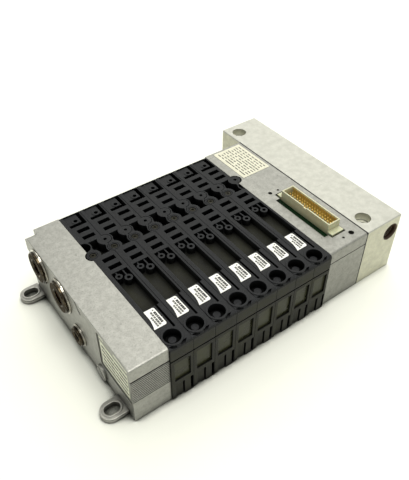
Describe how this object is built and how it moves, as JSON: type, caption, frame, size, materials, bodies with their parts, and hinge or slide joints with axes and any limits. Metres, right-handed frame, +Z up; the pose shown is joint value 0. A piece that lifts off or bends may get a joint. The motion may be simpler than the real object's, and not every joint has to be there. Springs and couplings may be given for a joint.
{
  "type": "pneumatic valve island",
  "caption": "Pneumatic valve island: black valve slices in a row between a ported end plate, a connector module and a drilled end block, with push buttons and inner spools that slide.",
  "frame": {"origin": "middle of the bounding box, on the plane of the underside", "axes": "+Z up, +X along the stack towards the end block, +Y towards the rear"},
  "size_m": [0.2404, 0.1634, 0.056],
  "materials": {
    "cast_metal": "satin cast",
    "machined_metal": "machined",
    "foot_metal": "cast, dark",
    "port_metal": "nickel plated",
    "black_plastic": "satin moulded",
    "button_plastic": "satin moulded",
    "panel_plastic": "smooth",
    "coil_plastic": "moulded over windings",
    "steel": "turned",
    "spool_metal": "ground",
    "seal_rubber": "moulded",
    "board_green": "lacquered",
    "shell_cream": "moulded",
    "contact_gold": "gold plated",
    "label_white": "printed sheet"
  },
  "bodies": {
    "base": {"left_end_plate": "cast_metal", "module_housing": "cast_metal", "end_block": "machined_metal", "front_foot": "foot_metal", "rear_foot": "foot_metal", "front_supply_port": "port_metal", "rear_supply_port": "port_metal", "pilot_port": "port_metal", "front_panels": "panel_plastic", "pilot_solenoids": "coil_plastic", "spool_bore_plugs": "steel", "tie_rods": "steel", "duct_gaskets": "seal_rubber", "circuit_board": "board_green", "connector_shell": "shell_cream", "connector_pins": "contact_gold", "station_tags": "label_white", "module_label": "label_white", "side_label": "label_white", "valve_slice_1": "black_plastic", "valve_slice_2": "black_plastic", "valve_slice_3": "black_plastic", "valve_slice_4": "black_plastic", "valve_slice_5": "black_plastic", "valve_slice_6": "black_plastic", "valve_slice_7": "black_plastic", "valve_slice_8": "black_plastic"},
    "button_1": {"override_button_1": "button_plastic"},
    "spool_1": {"valve_spool_1": "spool_metal"},
    "button_2": {"override_button_2": "button_plastic"},
    "spool_2": {"valve_spool_2": "spool_metal"},
    "button_3": {"override_button_3": "button_plastic"},
    "spool_3": {"valve_spool_3": "spool_metal"},
    "button_4": {"override_button_4": "button_plastic"},
    "spool_4": {"valve_spool_4": "spool_metal"},
    "button_5": {"override_button_5": "button_plastic"},
    "spool_5": {"valve_spool_5": "spool_metal"},
    "button_6": {"override_button_6": "button_plastic"},
    "spool_6": {"valve_spool_6": "spool_metal"},
    "button_7": {"override_button_7": "button_plastic"},
    "spool_7": {"valve_spool_7": "spool_metal"},
    "button_8": {"override_button_8": "button_plastic"},
    "spool_8": {"valve_spool_8": "spool_metal"}
  },
  "joints": [
    {"name": "button_press_1", "type": "slide", "parent": "base", "child": "button_1", "axis": [0, 0, -1], "range_m": [0, 0.0013], "stiffness_N_per_m": 500},
    {"name": "spool_shift_1", "type": "slide", "parent": "base", "child": "spool_1", "axis": [0, 1, 0], "range_m": [0, 0.003]},
    {"name": "button_press_2", "type": "slide", "parent": "base", "child": "button_2", "axis": [0, 0, -1], "range_m": [0, 0.0013], "stiffness_N_per_m": 500},
    {"name": "spool_shift_2", "type": "slide", "parent": "base", "child": "spool_2", "axis": [0, 1, 0], "range_m": [0, 0.003]},
    {"name": "button_press_3", "type": "slide", "parent": "base", "child": "button_3", "axis": [0, 0, -1], "range_m": [0, 0.0013], "stiffness_N_per_m": 500},
    {"name": "spool_shift_3", "type": "slide", "parent": "base", "child": "spool_3", "axis": [0, 1, 0], "range_m": [0, 0.003]},
    {"name": "button_press_4", "type": "slide", "parent": "base", "child": "button_4", "axis": [0, 0, -1], "range_m": [0, 0.0013], "stiffness_N_per_m": 500},
    {"name": "spool_shift_4", "type": "slide", "parent": "base", "child": "spool_4", "axis": [0, 1, 0], "range_m": [0, 0.003]},
    {"name": "button_press_5", "type": "slide", "parent": "base", "child": "button_5", "axis": [0, 0, -1], "range_m": [0, 0.0013], "stiffness_N_per_m": 500},
    {"name": "spool_shift_5", "type": "slide", "parent": "base", "child": "spool_5", "axis": [0, 1, 0], "range_m": [0, 0.003]},
    {"name": "button_press_6", "type": "slide", "parent": "base", "child": "button_6", "axis": [0, 0, -1], "range_m": [0, 0.0013], "stiffness_N_per_m": 500},
    {"name": "spool_shift_6", "type": "slide", "parent": "base", "child": "spool_6", "axis": [0, 1, 0], "range_m": [0, 0.003]},
    {"name": "button_press_7", "type": "slide", "parent": "base", "child": "button_7", "axis": [0, 0, -1], "range_m": [0, 0.0013], "stiffness_N_per_m": 500},
    {"name": "spool_shift_7", "type": "slide", "parent": "base", "child": "spool_7", "axis": [0, 1, 0], "range_m": [0, 0.003]},
    {"name": "button_press_8", "type": "slide", "parent": "base", "child": "button_8", "axis": [0, 0, -1], "range_m": [0, 0.0013], "stiffness_N_per_m": 500},
    {"name": "spool_shift_8", "type": "slide", "parent": "base", "child": "spool_8", "axis": [0, 1, 0], "range_m": [0, 0.003]}
  ]
}
